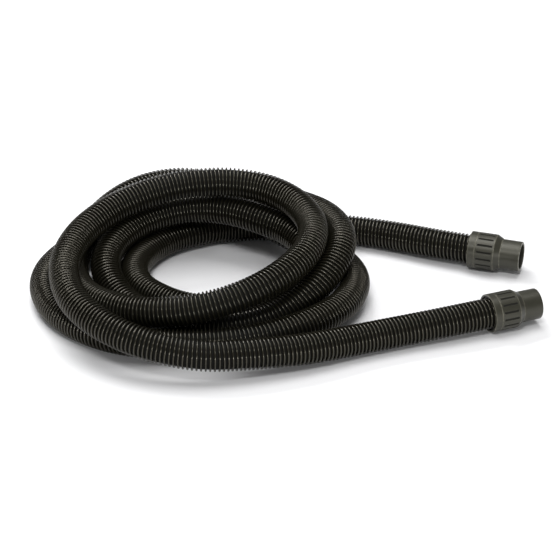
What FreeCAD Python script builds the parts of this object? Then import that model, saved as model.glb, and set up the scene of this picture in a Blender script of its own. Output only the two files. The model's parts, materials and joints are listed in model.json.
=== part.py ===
"""Pool vacuum hose: a ribbed suction hose laid in a loose coil, with a swivel cuff on each end.

Millimetres, +Z up. The hose and both cuffs lie on the plane z = 0, and the origin is the middle
of the whole object on that plane. End A is the end under the coil, end B the end on top of it.
"""
import FreeCAD, Part
import math
import os

OUT_DIR = "parts"

# ---------------------------------------------------------------- driving sizes
HOSE_OD = 46.0            # over the ribs
HOSE_PLAIN_BORE = 41.5    # plain tube with as much material as the ribbed wall
HOSE_IN_CUFF = 33.5       # how far the hose end reaches into its cuff
REST_Z = HOSE_OD / 2      # centre line of a hose that lies on the ground

COLLAR_OD = 57.0          # fluted grip
NOZZLE_OD = 46.0
NOZZLE_BORE = 38.1        # 1 1/2 inch spigots go in here
CUFF_LENGTH = 80.0
BAND_END = 10.7           # the plain band is the visible part of the retaining ring
LAND_END = 40.7           # the grip ends and the cone starts
CONE_END = 49.7           # the cone ends and the nozzle starts
LIP_CHAMFER = 1.0
EDGE_FILLET = 0.6
CUFF_Z = COLLAR_OD / 2 + 0.1

FLUTE_COUNT = 16
FLUTE_START = 14.0
FLUTE_END = 37.5
FLUTE_WIDTH = 3.0
FLUTE_DEPTH = 1.0

RUNNING_GAP = 0.3         # radial, between the turning cuff and the fixed insert
END_GAP = 0.2             # axial, each side of a washer
WASHER_THICKNESS = 1.5

SLEEVE_OD = 49.6          # the insert's sleeve around the hose
SLEEVE_START = 3.0
SLEEVE_END = 37.0
SLEEVE_BORE_GAP = 0.05    # glue line on the hose
FLANGE_OD = 51.8
FLANGE_START = 17.0
FLANGE_END = 20.0
SPIGOT_OD = 43.2          # the insert's nose, which carries the seal
SPIGOT_BORE = 37.0        # the stop for a spigot pushed into the nozzle
SPIGOT_END = 45.0
GROOVE_START = 40.2
GROOVE_END = 42.4
GROOVE_DEPTH = 1.3
SEAL_SECTION = 1.45

RING_SKIRT_OD = 54.2      # the retaining ring's skirt inside the collar
RING_SKIRT_END = 14.7

# ---------------------------------------------------------------- the route of the hose
# The coil is seen from above and runs anticlockwise, from the bottom of the pile to its top.
# Each pair is how far out and how high the centre line is on one of eight compass spokes.
# The first spoke points away from the front, and each row is one full turn.
COIL_CENTRE = (-126.0, 15.5)
FIRST_SPOKE_DEG = 90.0
SPOKES_PER_TURN = 8
TURNS = [
    [(150, 28), (120, 25), (100, 23), (85, 23), (95, 23), (110, 23), (175, 60), (125, 80)],
    [(125, 80), (135, 70), (145, 50), (135, 23), (145, 23), (175, 30), (220, 85), (210, 75)],
    [(230, 50), (210, 25), (240, 23), (225, 23), (200, 23), (230, 35), (240, 30), (165, 45)],
    [(185, 95), (185, 90), (195, 40), (180, 45), (170, 65), (170, 90), (175, 110), (145, 125)],
    [(110, 130), (125, 120), (185, 95), (245, 70), (260, 40)],
]

# The leads from the coil to the two cuffs, from the coil outwards: x, y, z.
LEAD_A = [(-90, 182, 23), (-45, 188, 23), (12, 188, 23), (76, 182, 23), (160, 158, 24)]
LEAD_B = [(-45, -230, 36), (33, -206, 30), (107, -170, 25), (183, -141, 25)]

# Each cuff is level. Its mouth is where the hose goes in.
CUFF_A_MOUTH = (290.0, 99.5)
CUFF_A_HEADING_DEG = -18.0
CUFF_B_MOUTH = (301.0, -100.5)
CUFF_B_HEADING_DEG = 22.0
STRAIGHT_BEHIND_CUFF = 45.0

ARC_SHARE = 0.45          # how much of a run the arc at its end takes


# ---------------------------------------------------------------- route
def heading(degrees):
    angle = math.radians(degrees)
    return FreeCAD.Vector(math.cos(angle), math.sin(angle), 0)


def along_cuff(mouth, degrees, distance):
    start = FreeCAD.Vector(mouth[0], mouth[1], CUFF_Z)
    return start + heading(degrees) * distance


def halfway_values(values):
    """Each value, and between two of them the smooth value halfway."""
    first = 2 * values[0] - values[1]
    last = 2 * values[-1] - values[-2]
    wide = [first] + values + [last]
    out = []
    for i in range(1, len(wide) - 2):
        between = (9 * (wide[i] + wide[i + 1]) - wide[i - 1] - wide[i + 2]) / 16
        out += [wide[i], between]
    return out + [values[-1]]


def coil_points():
    spokes = [spoke for turn in TURNS for spoke in turn]
    reaches = halfway_values([float(reach) for reach, height in spokes])
    heights = halfway_values([float(height) for reach, height in spokes])
    step = 360.0 / (2 * SPOKES_PER_TURN)
    points = []
    for i, (reach, height) in enumerate(zip(reaches, heights)):
        out = heading(FIRST_SPOKE_DEG + i * step) * reach
        z = max(height, REST_Z)
        points.append(FreeCAD.Vector(COIL_CENTRE[0] + out.x, COIL_CENTRE[1] + out.y, z))
    return points


def lead_points(points, mouth, degrees):
    """From the coil outwards, ending with the straight stretch that goes into the cuff."""
    straight = [along_cuff(mouth, degrees, s) for s in (-STRAIGHT_BEHIND_CUFF, HOSE_IN_CUFF)]
    return [FreeCAD.Vector(*p) for p in points] + straight


def corner(before, point, after):
    """Where the tangent arc at a corner starts, its middle and end, and its radius."""
    back = before - point
    on = after - point
    shorter = min(back.Length, on.Length)
    back.normalize()
    on.normalize()
    half_turn = (math.pi - back.getAngle(on)) / 2
    tangent = ARC_SHARE * shorter
    radius = tangent / math.tan(half_turn)
    inward = back + on
    inward.normalize()
    middle = point + inward * (radius / math.cos(half_turn) - radius)
    return point + back * tangent, middle, point + on * tangent, radius


def path_wire(route, first, last):
    """The path round corners first to last, from half-run to half-run or the route's end."""
    begin = route[0] if first == 1 else (route[first - 1] + route[first]) * 0.5
    end = route[-1] if last == len(route) - 2 else (route[last] + route[last + 1]) * 0.5
    edges = []
    radii = []
    here = begin
    for i in range(first, last + 1):
        enter, middle, leave, radius = corner(route[i - 1], route[i], route[i + 1])
        edges.append(Part.LineSegment(here, enter).toShape())
        edges.append(Part.Arc(enter, middle, leave).toShape())
        radii.append(radius)
        here = leave
    edges.append(Part.LineSegment(here, end).toShape())
    return Part.Wire(edges), radii


def pipe(wire, radius):
    start = wire.Vertexes[0].Point
    direction = wire.Edges[0].tangentAt(wire.Edges[0].FirstParameter)
    ring = Part.Wire(Part.makeCircle(radius, start, direction))
    return wire.makePipeShell([ring], True, False)


def hose_tube(name, route, first, last):
    wire, radii = path_wire(route, first, last)
    tube = pipe(wire, HOSE_OD / 2).cut(pipe(wire, HOSE_PLAIN_BORE / 2))
    section = math.pi * (HOSE_OD ** 2 - HOSE_PLAIN_BORE ** 2) / 4
    print("%s: %.0f mm long, volume %.4f of section times length, radii %.0f to %.0f mm: %s" % (
        name, wire.Length, tube.Volume / (section * wire.Length), min(radii), max(radii),
        " ".join("%.0f" % r for r in radii)))
    return tube


# ---------------------------------------------------------------- cuff pieces, along +X from the mouth
def turned(outline):
    """A solid turned about the X axis from (distance along, radius) points."""
    corners = [FreeCAD.Vector(s, 0, r) for s, r in outline]
    face = Part.Face(Part.makePolygon(corners + corners[:1]))
    return face.revolve(FreeCAD.Vector(0, 0, 0), FreeCAD.Vector(1, 0, 0), 360)


def plain_ring(start, end, inner, outer):
    return turned([(start, inner), (end, inner), (end, outer), (start, outer)])


def rounded_at(solid, spots, size):
    """Fillet the circular edges whose (distance along, radius) is one of spots."""
    edges = []
    for edge in solid.Edges:
        curve = edge.Curve
        if not isinstance(curve, Part.Circle) or abs(abs(curve.Axis.x) - 1) > 1e-6:
            continue
        for s, r in spots:
            if abs(curve.Center.x - s) < 0.01 and abs(curve.Radius - r) < 0.01:
                edges.append(edge)
    return solid.makeFillet(size, edges)


def retaining_ring():
    inner = SLEEVE_OD / 2 + RUNNING_GAP
    skirt = RING_SKIRT_OD / 2
    band = COLLAR_OD / 2
    ring = turned([(0, inner), (RING_SKIRT_END, inner), (RING_SKIRT_END, skirt),
                   (BAND_END, skirt), (BAND_END, band), (0, band)])
    return rounded_at(ring, [(0, inner), (0, band)], EDGE_FILLET)


def flute(turn_deg):
    """A shallow groove with round ends, cut along the grip."""
    floor = COLLAR_OD / 2 - FLUTE_DEPTH
    half = FLUTE_WIDTH / 2
    height = 2 * FLUTE_DEPTH
    bar = Part.makeBox(FLUTE_END - FLUTE_START - FLUTE_WIDTH, FLUTE_WIDTH, height,
                       FreeCAD.Vector(FLUTE_START + half, -half, floor))
    ends = [Part.makeCylinder(half, height, FreeCAD.Vector(s, 0, floor))
            for s in (FLUTE_START + half, FLUTE_END - half)]
    groove = bar.multiFuse(ends).removeSplitter()
    groove.rotate(FreeCAD.Vector(0, 0, 0), FreeCAD.Vector(1, 0, 0), turn_deg)
    return groove


def cuff_body():
    """The grip, cone and nozzle in one moulding, hollow for the insert."""
    collar = COLLAR_OD / 2
    nozzle = NOZZLE_OD / 2
    bore = NOZZLE_BORE / 2
    skirt = RING_SKIRT_OD / 2
    cavity = FLANGE_OD / 2 + RUNNING_GAP
    sleeve = SLEEVE_OD / 2 + RUNNING_GAP
    spigot = SPIGOT_OD / 2 + RUNNING_GAP
    shoulder = FLANGE_END + 2 * END_GAP + WASHER_THICKNESS
    body = turned([
        (BAND_END, collar), (LAND_END, collar), (CONE_END, nozzle),
        (CUFF_LENGTH - LIP_CHAMFER, nozzle), (CUFF_LENGTH, nozzle - LIP_CHAMFER),
        (CUFF_LENGTH, bore), (SPIGOT_END + END_GAP, bore), (SPIGOT_END + END_GAP, spigot),
        (SLEEVE_END + END_GAP, spigot), (SLEEVE_END + END_GAP, sleeve), (shoulder, sleeve),
        (shoulder, cavity), (RING_SKIRT_END, cavity), (RING_SKIRT_END, skirt), (BAND_END, skirt)])
    body = rounded_at(body, [(BAND_END, collar), (LAND_END, collar)], EDGE_FILLET)
    return body.cut([flute(i * 360.0 / FLUTE_COUNT) for i in range(FLUTE_COUNT)])


def threaded_insert():
    """Screwed and glued on the hose end; the cuff turns on it."""
    bore = HOSE_OD / 2 + SLEEVE_BORE_GAP
    sleeve = SLEEVE_OD / 2
    flange = FLANGE_OD / 2
    spigot = SPIGOT_OD / 2
    nose = SPIGOT_BORE / 2
    return turned([
        (SLEEVE_START, bore), (HOSE_IN_CUFF, bore), (HOSE_IN_CUFF, nose), (SPIGOT_END, nose),
        (SPIGOT_END, spigot), (GROOVE_END, spigot), (GROOVE_END, spigot - GROOVE_DEPTH),
        (GROOVE_START, spigot - GROOVE_DEPTH), (GROOVE_START, spigot), (SLEEVE_END, spigot),
        (SLEEVE_END, sleeve), (FLANGE_END, sleeve), (FLANGE_END, flange), (FLANGE_START, flange),
        (FLANGE_START, sleeve), (SLEEVE_START, sleeve)])


def washer(start):
    inner = SLEEVE_OD / 2 + RUNNING_GAP / 2
    return plain_ring(start, start + WASHER_THICKNESS, inner, FLANGE_OD / 2)


def seal_ring():
    ring_radius = SPIGOT_OD / 2 - GROOVE_DEPTH + SEAL_SECTION / 2
    middle = (GROOVE_START + GROOVE_END) / 2
    return Part.makeTorus(ring_radius, SEAL_SECTION / 2, FreeCAD.Vector(middle, 0, 0),
                          FreeCAD.Vector(1, 0, 0))


def cuff_pieces():
    return {
        "retaining_ring": retaining_ring(),
        "swivel_cuff": cuff_body(),
        "threaded_insert": threaded_insert(),
        "rear_glide_washer": washer(FLANGE_START - END_GAP - WASHER_THICKNESS),
        "front_glide_washer": washer(FLANGE_END + END_GAP),
        "seal_ring": seal_ring(),
    }


def placed(shape, mouth, degrees):
    moved = shape.copy()
    moved.rotate(FreeCAD.Vector(0, 0, 0), FreeCAD.Vector(0, 0, 1), degrees)
    moved.translate(FreeCAD.Vector(mouth[0], mouth[1], CUFF_Z))
    return moved


# ---------------------------------------------------------------- build
def build():
    lead_a = lead_points(LEAD_A, CUFF_A_MOUTH, CUFF_A_HEADING_DEG)
    lead_b = lead_points(LEAD_B, CUFF_B_MOUTH, CUFF_B_HEADING_DEG)
    coil = coil_points()
    route = lead_a[::-1] + coil + lead_b
    coil_first = len(lead_a)
    coil_last = coil_first + len(coil) - 1
    nodes = {
        "hose_lead_a": hose_tube("hose_lead_a", route, 1, coil_first - 1),
        "hose_coil": hose_tube("hose_coil", route, coil_first, coil_last),
        "hose_lead_b": hose_tube("hose_lead_b", route, coil_last + 1, len(route) - 2),
    }
    for end, mouth, degrees in (("a", CUFF_A_MOUTH, CUFF_A_HEADING_DEG),
                                ("b", CUFF_B_MOUTH, CUFF_B_HEADING_DEG)):
        for piece, shape in cuff_pieces().items():
            nodes["%s_%s" % (piece, end)] = placed(shape, mouth, degrees)
    return nodes


os.makedirs(OUT_DIR, exist_ok=True)
whole = FreeCAD.BoundBox()
for node, shape in build().items():
    shape.exportStep(os.path.join(OUT_DIR, node + ".step"))
    whole.add(shape.optimalBoundingBox(False))
    print("%-24s solids %d valid %s volume %.0f mm3" % (
        node, len(shape.Solids), shape.isValid(), shape.Volume))
print("size %.1f x %.1f x %.1f mm, middle (%.2f, %.2f), lowest %.2f" % (
    whole.XLength, whole.YLength, whole.ZLength, whole.Center.x, whole.Center.y, whole.ZMin))
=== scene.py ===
# %% [markdown]
# # A pool vacuum hose in Blender
#
# The real object is nearly six metres of ribbed suction hose, laid down in a loose coil, with the
# same swivel cuff on each end. The CAD frame gives the sizes, the places and the two swivel joints.
# This lesson adds what the eye needs: every rib of the hose, the soft edges and grooves of the
# cuffs, and plastics that look moulded. All lengths here are metres.

# %% Load the fixed frame
import json
import math

import bmesh
import bpy
import numpy as np
from mathutils import Matrix, Vector


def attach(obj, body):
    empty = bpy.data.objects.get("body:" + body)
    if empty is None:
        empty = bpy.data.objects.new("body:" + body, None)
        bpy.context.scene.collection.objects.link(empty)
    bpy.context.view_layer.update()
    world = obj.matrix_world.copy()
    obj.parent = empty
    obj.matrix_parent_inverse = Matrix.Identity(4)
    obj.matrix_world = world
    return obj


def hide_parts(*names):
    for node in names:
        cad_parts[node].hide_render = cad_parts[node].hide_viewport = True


MM = 0.001

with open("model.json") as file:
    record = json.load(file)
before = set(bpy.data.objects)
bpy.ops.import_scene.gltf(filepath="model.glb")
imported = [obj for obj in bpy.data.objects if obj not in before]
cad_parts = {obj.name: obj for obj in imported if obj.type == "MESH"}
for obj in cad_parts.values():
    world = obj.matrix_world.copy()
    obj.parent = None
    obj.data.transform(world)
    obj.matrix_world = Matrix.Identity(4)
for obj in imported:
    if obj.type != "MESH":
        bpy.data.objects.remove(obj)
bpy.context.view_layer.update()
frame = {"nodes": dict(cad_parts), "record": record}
joints = {joint["name"]: joint for joint in frame["record"]["behaviour"]["joints"]}
print("frame nodes:", len(frame["nodes"]), "joints:", sorted(joints))

# %% [markdown]
# ## The camera
#
# The camera stands well back with a long lens, so the near lead and the far lead come out almost
# equally thick. It looks along +Y, tipped down by 29 degrees.

# %% Camera
CAMERA_PLACE = (-0.0047, -3.0325, 1.710)
CAMERA_DOWN_DEG = 29.0
LENS_MM = 147.9

lens = bpy.data.cameras.new("camera")
lens.sensor_width = 36.0
lens.lens = LENS_MM
camera = bpy.data.objects.new("camera", lens)
camera.location = CAMERA_PLACE
camera.rotation_euler = (math.radians(90.0 - CAMERA_DOWN_DEG), 0, 0)
bpy.context.collection.objects.link(camera)
bpy.context.scene.camera = camera
print("camera at", CAMERA_PLACE, "with a lens of", LENS_MM, "mm")

# %% [markdown]
# ## The route of the hose
#
# A hose is not modelled where it lies. First comes its route: one smooth NURBS line, the way a
# person would draw it. The two leads are a few points each. The coil is worked out by a loop, from
# how far out and how high the hose is on eight compass spokes in each turn. Loose turns differ in
# size, so each spoke has its own pair.

# %% Route points
COIL_CENTRE = (-0.126, 0.0155)
FIRST_SPOKE_DEG = 90.0
SPOKES_PER_TURN = 8
HOSE_RADIUS = 0.023
TURNS_MM = [
    [(150, 28), (120, 25), (100, 23), (85, 23), (95, 23), (110, 23), (175, 60), (125, 80)],
    [(125, 80), (135, 70), (145, 50), (135, 23), (145, 23), (175, 30), (220, 85), (210, 75)],
    [(230, 50), (210, 25), (240, 23), (225, 23), (200, 23), (230, 35), (240, 30), (165, 45)],
    [(185, 95), (185, 90), (195, 40), (180, 45), (170, 65), (170, 90), (175, 110), (145, 125)],
    [(110, 130), (125, 120), (185, 95), (245, 70), (260, 40)],
]
LEAD_A = [(-0.090, 0.182, 0.023), (-0.045, 0.188, 0.023), (0.012, 0.188, 0.023),
          (0.076, 0.182, 0.023), (0.160, 0.158, 0.024)]
LEAD_B = [(-0.045, -0.230, 0.036), (0.033, -0.206, 0.030), (0.107, -0.170, 0.025),
          (0.183, -0.141, 0.025)]
STRAIGHT_BEHIND_CUFF = 0.045
HOSE_IN_CUFF = 0.0335


def cuff_line(end):
    """Where a cuff's mouth is, and which way the cuff points, from its swivel joint."""
    joint = joints["cuff_%s_swivel" % end]
    return Vector(joint["pos_m"]), Vector(joint["axis"]).normalized()


def halfway_values(values):
    """Each value, and between two of them the smooth value halfway, from the nearest four."""
    wide = [2 * values[0] - values[1]] + values + [2 * values[-1] - values[-2]]
    out = []
    for i in range(1, len(wide) - 2):
        between = (9 * (wide[i] + wide[i + 1]) - wide[i - 1] - wide[i + 2]) / 16
        out += [wide[i], between]
    return out + [values[-1]]


def coil_points():
    spokes = [spoke for turn in TURNS_MM for spoke in turn]
    reaches = halfway_values([reach * MM for reach, height in spokes])
    heights = halfway_values([height * MM for reach, height in spokes])
    points = []
    for i, (reach, height) in enumerate(zip(reaches, heights)):
        angle = math.radians(FIRST_SPOKE_DEG + i * 180.0 / SPOKES_PER_TURN)
        points.append((COIL_CENTRE[0] + reach * math.cos(angle),
                       COIL_CENTRE[1] + reach * math.sin(angle), max(height, HOSE_RADIUS)))
    return points


def lead_points(points, end):
    mouth, ahead = cuff_line(end)
    behind = mouth - ahead * STRAIGHT_BEHIND_CUFF
    inside = mouth + ahead * HOSE_IN_CUFF
    return points + [tuple(behind), tuple(inside)]


route_points = lead_points(LEAD_A, "a")[::-1] + coil_points() + lead_points(LEAD_B, "b")
print("route points:", len(route_points))

# %% [markdown]
# The points are the control points of one NURBS spline. Blender works out its smooth line, and
# everything on the hose follows the points that it gives back.

# %% One smooth line through the route
def nurbs_line(name, points):
    """The points that Blender gives for a NURBS curve with these control points and no bevel."""
    curve = bpy.data.curves.new(name, "CURVE")
    curve.dimensions = "3D"
    spline = curve.splines.new("NURBS")
    spline.points.add(len(points) - 1)
    for control, point in zip(spline.points, points):
        control.co = (*point, 1.0)
    spline.order_u = 3
    spline.use_endpoint_u = True
    spline.resolution_u = 16
    drawn = bpy.data.objects.new(name, curve)
    mesh = bpy.data.meshes.new_from_object(drawn)
    line = np.array([vertex.co for vertex in mesh.vertices])
    bpy.data.objects.remove(drawn)
    return line


hose_line = nurbs_line("hose_route", route_points)
steps = np.linalg.norm(np.diff(hose_line, axis=0), axis=1)
distance_along = np.concatenate([[0.0], np.cumsum(steps)])
hose_length = float(distance_along[-1])
print("hose length: %.3f m, points on the line: %d" % (hose_length, len(hose_line)))

# %% [markdown]
# ## Laying a straight hose along its route
#
# The hose is made straight, as it comes off the machine, and then laid on its route. At every point
# of the line there is a small frame: a tangent, a side and an up that are carried along without
# twist. A vertex keeps its place across the hose, and its distance along X picks the frame.
#
# A rib is harder than the web between the ribs. Where the hose bends, the web folds and stretches,
# but a rib keeps its width: the gaps open on the outside of a bend and close on the inside. So each
# rib vertex is laid from the middle of its own rib, and only squeezed once its neighbours touch.

# %% Frames along the line
def carried_frames(line):
    tangents = np.gradient(line, axis=0)
    tangents /= np.linalg.norm(tangents, axis=1)[:, None]
    side = np.cross((0, 0, 1), tangents[0])
    sides = []
    for tangent in tangents:
        side = side - tangent * np.dot(side, tangent)
        side /= np.linalg.norm(side)
        sides.append(side)
    sides = np.array(sides)
    return tangents, sides, np.cross(tangents, sides)


tangents, sides, ups = carried_frames(hose_line)
bends = np.gradient(tangents, distance_along, axis=0)

print("tightest bend of the line: %.0f mm" % (1000.0 / np.linalg.norm(bends, axis=1).max()))

RIB_PITCH = 0.006
RIB_WIDTH = 0.0032
CLOSED_SHARE = 0.97


def at(values, along):
    """Values that are known along the line, read at any distance along it."""
    return np.stack([np.interp(along, distance_along, values[:, k]) for k in range(3)], axis=1)


def lay_on_route(mesh, first_rib=None):
    """Move a straight hose mesh, along X from 0, onto the route. Ribs keep their own width."""
    straight = np.empty(len(mesh.vertices) * 3)
    mesh.vertices.foreach_get("co", straight)
    straight = straight.reshape(-1, 3)
    along = straight[:, 0]
    from_middle = np.zeros(len(along))
    if first_rib is not None:
        turn = np.arctan2(straight[:, 2], straight[:, 1]) / (2 * math.pi)
        wound = along - first_rib - RIB_PITCH * turn
        from_middle = (wound + RIB_PITCH / 2) % RIB_PITCH - RIB_PITCH / 2
    middle = along - from_middle
    across = at(sides, middle) * straight[:, 1:2] + at(ups, middle) * straight[:, 2:3]
    stretch = 1 - np.sum(at(bends, middle) * across, axis=1)
    squeeze = np.minimum(1.0, stretch * CLOSED_SHARE * RIB_PITCH / RIB_WIDTH)
    laid = at(hose_line, middle) + across + at(tangents, middle) * (from_middle * squeeze)[:, None]
    mesh.vertices.foreach_set("co", laid.ravel())
    mesh.update()


# %% [markdown]
# ## Finishing a mesh
#
# Every new piece ends the same way: its doubled vertices are welded, its normals are turned
# outwards, and its mesh becomes an object with one material.

# %% Helpers that finish a mesh
WELD = 1e-6


def new_piece(name, bm, material, smooth=True):
    mesh = bpy.data.meshes.new(name)
    bm.to_mesh(mesh)
    bm.free()
    mesh.materials.append(material)
    mesh.polygons.foreach_set("use_smooth", [smooth] * len(mesh.polygons))
    piece = bpy.data.objects.new(name, mesh)
    bpy.context.collection.objects.link(piece)
    return piece


def outwards(bm):
    bmesh.ops.remove_doubles(bm, verts=bm.verts, dist=WELD)
    bmesh.ops.recalc_face_normals(bm, faces=bm.faces)


# %% [markdown]
# ## Plastics
#
# Six finishes share their effects, so each effect is a node group, built once. The first is the
# unevenness of a moulded or extruded surface: a slow drift in shade and gloss, and a fine grain.

# %% Node group: uneven plastic
DRIFT_SCALE = 9.0
CLOUD_SCALE = 60.0
GRAIN_SCALE = 1400.0


def group_socket(group, name, kind, way, value=None):
    socket = group.interface.new_socket(name=name, in_out=way, socket_type=kind)
    if value is not None:
        socket.default_value = value
    return socket


def math_node(tree, operation, a, b=None, clamp=False):
    node = tree.nodes.new("ShaderNodeMath")
    node.operation = operation
    node.use_clamp = clamp
    for slot, value in zip(node.inputs, (a, b)):
        if value is None:
            continue
        if isinstance(value, (int, float)):
            slot.default_value = value
        else:
            tree.links.new(value, slot)
    return node.outputs[0]


def mix_colours(tree, factor, first, second):
    node = tree.nodes.new("ShaderNodeMix")
    node.data_type = "RGBA"
    for slot, value in ((node.inputs[0], factor), (node.inputs[6], first), (node.inputs[7], second)):
        if isinstance(value, (int, float, tuple)):
            slot.default_value = value
        else:
            tree.links.new(value, slot)
    return node.outputs[2]


def noise(tree, place, scale, detail=3.0, roughness=0.55):
    node = tree.nodes.new("ShaderNodeTexNoise")
    tree.links.new(place, node.inputs["Vector"])
    node.inputs["Scale"].default_value = scale
    node.inputs["Detail"].default_value = detail
    node.inputs["Roughness"].default_value = roughness
    return node.outputs["Fac"]


def make_uneven_plastic():
    group = bpy.data.node_groups.new("uneven_plastic", "ShaderNodeTree")
    group_socket(group, "Place", "NodeSocketVector", "INPUT")
    group_socket(group, "Dark", "NodeSocketColor", "INPUT", (0.03, 0.03, 0.025, 1))
    group_socket(group, "Pale", "NodeSocketColor", "INPUT", (0.06, 0.06, 0.05, 1))
    group_socket(group, "Gloss", "NodeSocketFloat", "INPUT", 0.4)
    group_socket(group, "Colour", "NodeSocketColor", "OUTPUT")
    group_socket(group, "Roughness", "NodeSocketFloat", "OUTPUT")
    group_socket(group, "Height", "NodeSocketFloat", "OUTPUT")
    inside = group.nodes.new("NodeGroupInput")
    outside = group.nodes.new("NodeGroupOutput")
    place = inside.outputs["Place"]
    drift = noise(group, place, DRIFT_SCALE, 4.0)
    cloud = noise(group, place, CLOUD_SCALE, 3.0)
    grain = noise(group, place, GRAIN_SCALE, 2.0)
    shade = math_node(group, "ADD", math_node(group, "MULTIPLY", drift, 1.1),
                      math_node(group, "MULTIPLY", cloud, 0.5))
    shade = math_node(group, "SUBTRACT", shade, 0.3, clamp=True)
    colour = mix_colours(group, shade, inside.outputs["Dark"], inside.outputs["Pale"])
    dull = math_node(group, "MULTIPLY", math_node(group, "SUBTRACT", drift, 0.5), 0.25)
    rough = math_node(group, "ADD", inside.outputs["Gloss"], dull, clamp=True)
    height = math_node(group, "ADD", math_node(group, "MULTIPLY", grain, 0.6),
                       math_node(group, "MULTIPLY", cloud, 0.4))
    group.links.new(colour, outside.inputs["Colour"])
    group.links.new(rough, outside.inputs["Roughness"])
    group.links.new(height, outside.inputs["Height"])
    return group


uneven_plastic = make_uneven_plastic()
print("node group:", uneven_plastic.name)

# %% [markdown]
# The second effect is dust: a paler, duller film that lies in patches on upward faces.

# %% Node group: dust
DUST_SCALE = 38.0
DUST_COLOUR = (0.30, 0.285, 0.24, 1)


def make_dust():
    group = bpy.data.node_groups.new("dust", "ShaderNodeTree")
    group_socket(group, "Place", "NodeSocketVector", "INPUT")
    group_socket(group, "Colour", "NodeSocketColor", "INPUT", (0.05, 0.05, 0.05, 1))
    group_socket(group, "Roughness", "NodeSocketFloat", "INPUT", 0.4)
    group_socket(group, "Amount", "NodeSocketFloat", "INPUT", 0.2)
    group_socket(group, "Colour", "NodeSocketColor", "OUTPUT")
    group_socket(group, "Roughness", "NodeSocketFloat", "OUTPUT")
    inside = group.nodes.new("NodeGroupInput")
    outside = group.nodes.new("NodeGroupOutput")
    geometry = group.nodes.new("ShaderNodeNewGeometry")
    split = group.nodes.new("ShaderNodeSeparateXYZ")
    group.links.new(geometry.outputs["Normal"], split.inputs[0])
    upward = math_node(group, "MULTIPLY", split.outputs["Z"], 1.0, clamp=True)
    patches = noise(group, inside.outputs["Place"], DUST_SCALE, 5.0, 0.65)
    patches = math_node(group, "MULTIPLY", math_node(group, "SUBTRACT", patches, 0.36), 3.0, clamp=True)
    mask = math_node(group, "MULTIPLY", math_node(group, "MULTIPLY", upward, patches),
                     inside.outputs["Amount"])
    colour = mix_colours(group, mask, inside.outputs["Colour"], DUST_COLOUR)
    rough = math_node(group, "ADD", inside.outputs["Roughness"],
                      math_node(group, "MULTIPLY", mask, 0.5), clamp=True)
    group.links.new(colour, outside.inputs["Colour"])
    group.links.new(rough, outside.inputs["Roughness"])
    return group


dust = make_dust()
print("node group:", dust.name)

# %% [markdown]
# The third effect, used only on the cuffs, is wear with painted light. It reads two marks that their
# meshes carry: how worn a place is, which also paints a pale highlight along the edges, and how much
# painted shade a recess gets.

# %% Node group: worn edges, painted highlight and painted shade
CHIP_SCALE = 260.0
# Pale colour of the rubbed edges: partly wear, partly a painted highlight along the edges.
RUBBED_AND_HIGHLIGHT_COLOUR = (0.21, 0.20, 0.155, 1)
# Near-black painted shade for the bores and the groove floors.
PAINTED_SHADE_COLOUR = (0.002, 0.002, 0.0015, 1)


def make_wear_and_painted_light():
    """Proud edges rub pale, as wear and a painted highlight. Recesses get painted shade, dark and dull.
    """
    group = bpy.data.node_groups.new("wear_and_painted_light", "ShaderNodeTree")
    group_socket(group, "Place", "NodeSocketVector", "INPUT")
    group_socket(group, "Colour", "NodeSocketColor", "INPUT", (0.05, 0.05, 0.05, 1))
    group_socket(group, "Roughness", "NodeSocketFloat", "INPUT", 0.4)
    group_socket(group, "Worn_and_highlight", "NodeSocketFloat", "INPUT", 0.0)
    group_socket(group, "Painted_shade", "NodeSocketFloat", "INPUT", 0.0)
    group_socket(group, "Colour", "NodeSocketColor", "OUTPUT")
    group_socket(group, "Roughness", "NodeSocketFloat", "OUTPUT")
    inside = group.nodes.new("NodeGroupInput")
    outside = group.nodes.new("NodeGroupOutput")
    chips = noise(group, inside.outputs["Place"], CHIP_SCALE, 4.0, 0.7)
    chips = math_node(group, "MULTIPLY", math_node(group, "SUBTRACT", chips, 0.28), 2.6, clamp=True)
    # Pale rub on the edges: partly wear, partly a painted highlight.
    rubbed_and_highlight = math_node(group, "MULTIPLY", chips, inside.outputs["Worn_and_highlight"], clamp=True)
    pale = mix_colours(group, math_node(group, "MULTIPLY", rubbed_and_highlight, 0.75), inside.outputs["Colour"],
                       RUBBED_AND_HIGHLIGHT_COLOUR)
    # Painted shade: recesses are mixed almost to black, and made duller.
    colour = mix_colours(group, math_node(group, "MULTIPLY", inside.outputs["Painted_shade"], 0.97), pale,
                         PAINTED_SHADE_COLOUR)
    rough = math_node(group, "ADD", inside.outputs["Roughness"],
                      math_node(group, "MULTIPLY", inside.outputs["Painted_shade"], 0.55), clamp=True)
    group.links.new(colour, outside.inputs["Colour"])
    group.links.new(rough, outside.inputs["Roughness"])
    return group


wear_and_painted_light = make_wear_and_painted_light()
print("node group:", wear_and_painted_light.name)

# %% [markdown]
# Each finish places the groups in its own material, with its own shades, gloss and dust. The hose
# is darker and glossier than the cuffs, and its web is painted nearly black and dull, as painted
# shade between the ribs.

# %% Materials from the node groups
RELIEF_STRENGTH = 0.6


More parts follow.
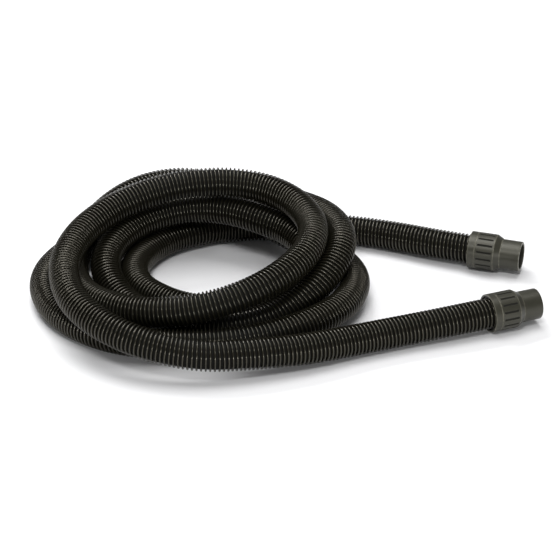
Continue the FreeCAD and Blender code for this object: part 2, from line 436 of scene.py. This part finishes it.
def plastic(name, dark, pale, gloss, dust_amount, bump=0.00006, specular=0.5, tint=(1, 1, 1),
            with_wear_and_painted_light=False):
    material = bpy.data.materials.new(name)
    material.use_nodes = True
    tree = material.node_tree
    shader = tree.nodes["Principled BSDF"]
    place = tree.nodes.new("ShaderNodeTexCoord").outputs["Object"]
    base = tree.nodes.new("ShaderNodeGroup")
    base.node_tree = uneven_plastic
    base.inputs["Dark"].default_value = (*dark, 1)
    base.inputs["Pale"].default_value = (*pale, 1)
    base.inputs["Gloss"].default_value = gloss
    film = tree.nodes.new("ShaderNodeGroup")
    film.node_tree = dust
    film.inputs["Amount"].default_value = dust_amount
    tree.links.new(place, base.inputs["Place"])
    tree.links.new(place, film.inputs["Place"])
    tree.links.new(base.outputs["Colour"], film.inputs["Colour"])
    tree.links.new(base.outputs["Roughness"], film.inputs["Roughness"])
    top = film
    if with_wear_and_painted_light:
        top = tree.nodes.new("ShaderNodeGroup")
        top.node_tree = wear_and_painted_light
        tree.links.new(place, top.inputs["Place"])
        tree.links.new(film.outputs["Colour"], top.inputs["Colour"])
        tree.links.new(film.outputs["Roughness"], top.inputs["Roughness"])
        # The two marks: pale edges, as wear and a painted highlight, and painted shade in the recesses.
        for mark in ("worn_and_highlight", "painted_shade"):
            reader = tree.nodes.new("ShaderNodeAttribute")
            reader.attribute_name = mark
            tree.links.new(reader.outputs["Fac"], top.inputs[mark.capitalize()])
    tree.links.new(top.outputs["Colour"], shader.inputs["Base Color"])
    tree.links.new(top.outputs["Roughness"], shader.inputs["Roughness"])
    relief = tree.nodes.new("ShaderNodeBump")
    relief.inputs["Distance"].default_value = bump
    relief.inputs["Strength"].default_value = RELIEF_STRENGTH
    tree.links.new(base.outputs["Height"], relief.inputs["Height"])
    tree.links.new(relief.outputs["Normal"], shader.inputs["Normal"])
    shader.inputs["Specular IOR Level"].default_value = specular
    shader.inputs["Specular Tint"].default_value = (*tint, 1)
    return material


hose_rib_plastic = plastic("hose_rib_plastic", (0.0044, 0.0040, 0.0024), (0.0105, 0.0095, 0.0058),
                           0.21, 0.015, bump=0.00001, tint=(1.0, 0.94, 0.79))
# Painted shade: the web between the ribs is coloured nearly black.
hose_web_painted_shade = plastic("hose_web_painted_shade", (0.0015, 0.0015, 0.001), (0.003, 0.003, 0.002),
                           0.7, 0.0, specular=0.1)
cuff_plastic = plastic("cuff_plastic", (0.0150, 0.0146, 0.0098), (0.0255, 0.0248, 0.0172),
                       0.34, 0.03, tint=(1.0, 0.98, 0.88), with_wear_and_painted_light=True)
insert_plastic = plastic("insert_plastic", (0.012, 0.012, 0.011), (0.022, 0.021, 0.020), 0.45, 0.0)
washer_acetal = plastic("washer_acetal", (0.62, 0.61, 0.57), (0.72, 0.71, 0.67), 0.35, 0.0)
seal_rubber = plastic("seal_rubber", (0.010, 0.010, 0.010), (0.018, 0.018, 0.018), 0.6, 0.0)
print("finishes:", sorted(material.name for material in bpy.data.materials))

# %% [markdown]
# ## The web of the hose
#
# Between the ribs the hose is a thin tube. Its outside and its inside are each a flat grid rolled
# up along X, and the two are joined at both ends. It stays hollow, as a cut hose is.

# %% The web
ROUND_STEPS = 36
WEB_OUTSIDE = 0.0196
WEB_INSIDE = 0.0186
WEB_STEP = 0.008
END_REACH = 1e-5


def straight_tube(bm, radius):
    """A flat grid, as long as the hose and one turn wide, rolled up into a tube along X."""
    rings = round(hose_length / WEB_STEP)
    sheet = bmesh.ops.create_grid(bm, x_segments=rings, y_segments=ROUND_STEPS, size=0.5)["verts"]
    for vertex in sheet:
        turn = vertex.co.y * 2 * math.pi
        vertex.co = ((vertex.co.x + 0.5) * hose_length, radius * math.cos(turn), radius * math.sin(turn))
    return sheet


def straight_web():
    bm = bmesh.new()
    sheets = straight_tube(bm, WEB_OUTSIDE) + straight_tube(bm, WEB_INSIDE)
    bmesh.ops.remove_doubles(bm, verts=sheets, dist=WELD)
    rims = [edge for edge in bm.edges if edge.is_boundary]
    for there in (0.0, hose_length):
        rim = [edge for edge in rims if abs(edge.verts[0].co.x - there) < END_REACH]
        bmesh.ops.bridge_loops(bm, edges=rim)
    outwards(bm)
    return bm


hose_web = new_piece("hose_web", straight_web(), hose_web_painted_shade)
lay_on_route(hose_web.data)
print("hose web faces:", len(hose_web.data.polygons))

# %% [markdown]
# ## The ribs
#
# A real suction hose is wound from a plastic bead, welded turn by turn on the web. The spin operator
# can do the same: the bead's outline is turned about the hose while every step also moves it along,
# which is a screw. Nearly a thousand turns are too much for one piece, so the hose has four lengths
# of rib. In each, a short block of turns is wound and then copied, since every turn is the same.

# %% Wind the ribs
RIB_LENGTHS = 4
BLOCK_TURNS = 11
RIB_OUTLINE = [(-0.50, 19.4), (-0.48, 21.2), (-0.37, 22.3), (-0.17, 22.93), (0.17, 22.93),
               (0.37, 22.3), (0.48, 21.2), (0.50, 19.4)]
BLOCKS = int(hose_length / (RIB_PITCH * BLOCK_TURNS * RIB_LENGTHS))
FIRST_RIB = (hose_length - BLOCKS * BLOCK_TURNS * RIB_LENGTHS * RIB_PITCH) / 2


def wound_rib(start):
    """One block of turns is wound by the spin, then copied end to end and welded."""
    bm = bmesh.new()
    outline = [bm.verts.new((width * RIB_WIDTH + start, radius * MM, 0)) for width, radius in RIB_OUTLINE]
    for a, b in zip(outline, outline[1:]):
        bm.edges.new((a, b))
    bmesh.ops.spin(bm, geom=list(bm.verts) + list(bm.edges), cent=(0, 0, 0), axis=(1, 0, 0),
                   angle=BLOCK_TURNS * 2 * math.pi, dvec=(RIB_PITCH / ROUND_STEPS, 0, 0),
                   steps=BLOCK_TURNS * ROUND_STEPS)
    block = list(bm.verts) + list(bm.edges) + list(bm.faces)
    for i in range(1, BLOCKS):
        copy = bmesh.ops.duplicate(bm, geom=block)["geom"]
        corners = [part for part in copy if isinstance(part, bmesh.types.BMVert)]
        bmesh.ops.translate(bm, verts=corners, vec=(i * BLOCK_TURNS * RIB_PITCH, 0, 0))
    outwards(bm)
    return bm


ribs = []
for i in range(RIB_LENGTHS):
    start = FIRST_RIB + i * BLOCKS * BLOCK_TURNS * RIB_PITCH
    rib = new_piece("hose_rib_%d" % (i + 1), wound_rib(start), hose_rib_plastic)
    lay_on_route(rib.data, first_rib=start)
    ribs.append(rib)
    print(rib.name, "turns:", BLOCKS * BLOCK_TURNS, "faces:", len(rib.data.polygons))

# %% [markdown]
# ## The cuffs
#
# A cuff is a turned shape, so its outline is drawn once, from the mouth towards the nozzle, and spun
# about the cuff's axis. The outline follows the CAD sizes. The grooves of the grip are faces of that
# spin, inset and pushed in.

# %% Turned pieces
CUFF_STEPS = 112
SOFT_SEGMENTS = 2
SOFT_ANGLE_DEG = 28


def turned(outline_mm):
    """A closed outline of (along, radius) in millimetres, spun about X."""
    bm = bmesh.new()
    corners = [bm.verts.new((along * MM, radius * MM, 0)) for along, radius in outline_mm]
    for a, b in zip(corners, corners[1:] + corners[:1]):
        bm.edges.new((a, b))
    bmesh.ops.spin(bm, geom=list(bm.verts) + list(bm.edges), cent=(0, 0, 0), axis=(1, 0, 0),
                   angle=2 * math.pi, steps=CUFF_STEPS, use_merge=True)
    outwards(bm)
    return bm


def soften(piece, width):
    edge = piece.modifiers.new("soft_edges", "BEVEL")
    edge.width = width
    edge.segments = SOFT_SEGMENTS
    edge.limit_method = "ANGLE"
    edge.angle_limit = math.radians(SOFT_ANGLE_DEG)
    edge.harden_normals = True


def put_on_end(piece, end):
    """Turn a piece that was made along X onto a cuff's axis, with its mouth at the cuff's mouth."""
    mouth, ahead = cuff_line(end)
    across = Vector((0, 0, 1)).cross(ahead)
    turn = Matrix((ahead, across, Vector((0, 0, 1)))).transposed().to_4x4()
    piece.data.transform(Matrix.Translation(mouth) @ turn)


# %% [markdown]
# The plain band at the mouth is the retaining ring. The grip, the cone and the nozzle are one
# piece. Sizes here are millimetres. The marks for the finish are set on the vertices: pale near the
# edges, as wear and a painted highlight, and painted shade in the bore and in the grooves.

# %% The retaining ring and the cuff
COLLAR = 28.5
NOZZLE = 23.0
BORE = 19.05
FLUTES = 16
FLUTE_FROM = 14.0
FLUTE_TO = 37.5
FLUTE_DEPTH = 1.0
FLUTE_WALL = 0.22
GRIP_SKIN = 28.4
SEAM = 0.35
# How far the pale rub reaches from an edge. It is wear and a painted highlight.
WORN_AND_HIGHLIGHT_REACH = 0.9
RING_INSIDE = 25.4
CUFF_INSIDE = 19.2
# Painted shade in the cuff's bore: darker from the nozzle's end inwards, over this many millimetres.
PAINTED_SHADE_FROM = 79.5
PAINTED_SHADE_OVER = 8.0


def mark_edges(bm, edges_mm, inner_mm):
    """Marks for the finish: pale near the named edges, as wear and a painted highlight, and painted shade
    inside the bore.
    """
    worn_and_highlight = bm.verts.layers.float.new("worn_and_highlight")
    painted_shade = bm.verts.layers.float.new("painted_shade")
    for vertex in bm.verts:
        along, out = vertex.co.x / MM, math.hypot(vertex.co.y, vertex.co.z) / MM
        near = min(math.hypot(along - x, out - r) for x, r in edges_mm)
        vertex[worn_and_highlight] = max(0.0, 1.0 - near / WORN_AND_HIGHLIGHT_REACH)
        vertex[painted_shade] = 1.0 if out < inner_mm else 0.0
    return painted_shade


def ring_mesh():
    bm = turned([(0.0, 25.1), (0.0, 26.4), (0.0, COLLAR - 0.6), (0.0, COLLAR), (0.7, COLLAR),
                 (1.5, COLLAR), (9.6, COLLAR), (10.7 - SEAM, COLLAR), (10.7, COLLAR - SEAM),
                 (10.7, 27.1), (14.7, 27.1), (14.7, 25.1), (2.5, 25.1)])
    # Pale edges, as wear and a painted highlight. The ring's bore gets painted shade.
    mark_edges(bm, [(0.1, COLLAR - 0.1), (10.5, COLLAR - 0.1)], RING_INSIDE)
    return bm


def cuff_mesh():
    bm = turned([
        (10.7, COLLAR - SEAM), (10.7 + SEAM, COLLAR), (12.0, COLLAR), (FLUTE_FROM, COLLAR),
        (FLUTE_TO, COLLAR), (39.4, COLLAR), (40.2, COLLAR), (40.7, COLLAR - 0.25),
        (41.4, COLLAR - 0.75), (48.6, NOZZLE + 0.7), (49.5, NOZZLE + 0.12), (50.3, NOZZLE),
        (51.2, NOZZLE), (77.6, NOZZLE), (78.7, NOZZLE), (79.6, NOZZLE - 0.35), (80.0, NOZZLE - 1.2),
        (80.0, 20.3), (79.7, 19.5), (78.9, BORE), (74.0, BORE), (62.0, BORE), (45.2, BORE),
        (45.2, 21.9), (37.2, 21.9), (37.2, 25.1), (21.9, 25.1), (21.9, 26.2), (14.7, 26.2),
        (14.7, 27.1), (10.7, 27.1)])
    # Pale edges, as wear and a painted highlight. The bore gets painted shade.
    painted_shade = mark_edges(bm, [(10.8, COLLAR - 0.1), (40.5, COLLAR), (49.6, NOZZLE + 0.1),
                           (79.6, NOZZLE - 0.4), (80.0, NOZZLE - 1.2), (80.0, 20.6)], CUFF_INSIDE)
    # The painted shade in the bore fades out towards the nozzle's end.
    for vertex in bm.verts:
        if vertex[painted_shade]:
            vertex[painted_shade] = max(0.0, min(1.0, (PAINTED_SHADE_FROM - vertex.co.x / MM) / PAINTED_SHADE_OVER))
    half = 2 * math.pi / CUFF_STEPS
    for i in range(FLUTES):
        middle = 2 * math.pi * i / FLUTES
        floor = []
        for face in bm.faces:
            spot = face.calc_center_median()
            turn = math.remainder(math.atan2(spot.z, spot.y) - middle, 2 * math.pi)
            out = math.hypot(spot.y, spot.z)
            if abs(turn) < half and out > GRIP_SKIN * MM and FLUTE_FROM * MM < spot.x < FLUTE_TO * MM:
                floor.append(face)
        bmesh.ops.inset_region(bm, faces=floor, thickness=FLUTE_WALL * MM, depth=-FLUTE_DEPTH * MM,
                               use_even_offset=True)
        # Painted shade on the floors of the grooves.
        for face in floor:
            for vertex in face.verts:
                vertex[painted_shade] = 1.0
    return bm


for end in ("a", "b"):
    body = "cuff_" + end
    ring = new_piece("ring_" + end, ring_mesh(), cuff_plastic)
    cuff = new_piece("cuff_shell_" + end, cuff_mesh(), cuff_plastic)
    for piece, node, width in ((ring, "retaining_ring_", 0.5), (cuff, "swivel_cuff_", 0.3)):
        put_on_end(piece, end)
        soften(piece, width * MM)
        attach(piece, body)
        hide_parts(node + end)
    print(body, "faces:", len(ring.data.polygons), len(cuff.data.polygons))

# %% [markdown]
# ## The pieces inside, and the hose
#
# The inserts, washers and seals keep their CAD shape inside the cuffs, and only get a finish.

# %% Finishes for the hidden CAD pieces
NODE_FINISHES = {"threaded_insert": insert_plastic, "rear_glide_washer": washer_acetal,
                 "front_glide_washer": washer_acetal, "seal_ring": seal_rubber}
for name, node in frame["nodes"].items():
    finish = NODE_FINISHES.get(name[:-2])
    if finish:
        node.data.materials.clear()
        node.data.materials.append(finish)
        print(name, "is", finish.name)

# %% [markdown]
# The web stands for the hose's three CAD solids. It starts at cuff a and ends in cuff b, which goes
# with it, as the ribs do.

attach(hose_web, "hose")
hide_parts("hose_lead_a", "hose_coil", "hose_lead_b")
for rib in ribs:
    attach(rib, "hose")

# %% [markdown]
# ## Floor and light
#
# The floor is plain and pale.

# %% Floor
FLOOR_REACH = 6.0

bm = bmesh.new()
bmesh.ops.create_grid(bm, x_segments=1, y_segments=1, size=FLOOR_REACH)
floor_material = bpy.data.materials.new("floor_white")
floor_material.use_nodes = True
floor_shader = floor_material.node_tree.nodes["Principled BSDF"]
floor_shader.inputs["Base Color"].default_value = (0.86, 0.86, 0.87, 1)
floor_shader.inputs["Roughness"].default_value = 0.6
floor = new_piece("floor", bm, floor_material, smooth=False)
print("floor reaches", FLOOR_REACH, "m each way")

# %% [markdown]
# Four soft boxes light the hose: a wide one straight above, a long one behind, a small one high in
# front and a low strip in front. What glints along the strands is their reflection. A pale world
# fills the rest.

# %% Light
WORLD_STRENGTH = 0.24


def soft_box(name, place, aim, size, power):
    light = bpy.data.lights.new(name, "AREA")
    light.shape = "RECTANGLE"
    light.size, light.size_y = size
    light.energy = power
    lamp = bpy.data.objects.new(name, light)
    lamp.location = place
    direction = Vector(aim) - Vector(place)
    lamp.rotation_euler = direction.to_track_quat("-Z", "Y").to_euler()
    bpy.context.collection.objects.link(lamp)
    print(name, "gives", power, "W")


soft_box("box_above", (0.1, 0.3, 3.0), (0.1, 0.3, 0), (2.2, 2.0), 58)
soft_box("box_behind", (-1.0, 1.5, 2.3), (0, 0, 0), (2.2, 0.35), 52)
soft_box("box_front", (-0.2, -1.7, 2.3), (0, 0, 0), (0.9, 0.5), 28)
soft_box("box_low", (0.4, -2.9, 0.40), (0.0, 0, 0.03), (3.6, 0.16), 44)
world = bpy.data.worlds.new("studio")
world.use_nodes = True
world.node_tree.nodes["Background"].inputs["Color"].default_value = (1, 1, 1, 1)
world.node_tree.nodes["Background"].inputs["Strength"].default_value = WORLD_STRENGTH
bpy.context.scene.world = world
bpy.context.scene.view_settings.view_transform = "Standard"
